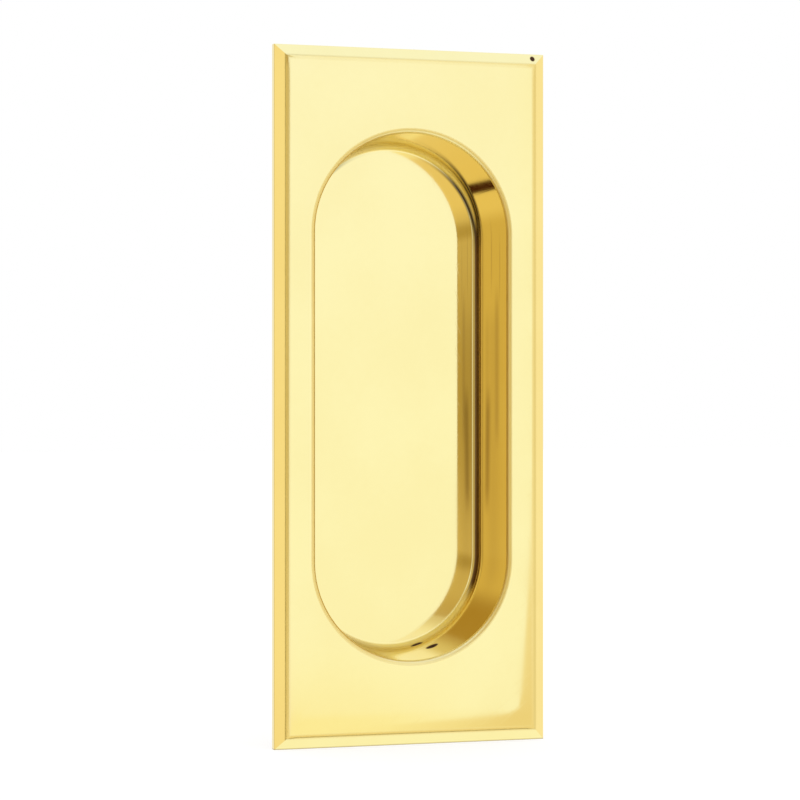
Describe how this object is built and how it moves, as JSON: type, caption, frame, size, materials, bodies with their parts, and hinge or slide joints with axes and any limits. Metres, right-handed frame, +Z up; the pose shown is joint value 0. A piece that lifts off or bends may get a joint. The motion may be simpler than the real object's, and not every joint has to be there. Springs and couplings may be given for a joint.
{
  "type": "pocket door flush pull",
  "caption": "Rectangular flush pull for a sliding pocket door: a bevelled polished brass plate with an oblong finger cup that sits in a mortise in the door.",
  "frame": {"origin": "centre of the plate's back face, which lies on the door", "axes": "+Z up along the plate's long side, +X to the right of a person facing the pull, +Y into the door; the polished front looks towards -Y"},
  "size_m": [0.0412, 0.0136, 0.1016],
  "materials": {
    "polished_brass": "mirror-polished brass under clear lacquer"
  },
  "bodies": {
    "root": {"flush_pull": "polished_brass"}
  },
  "joints": []
}
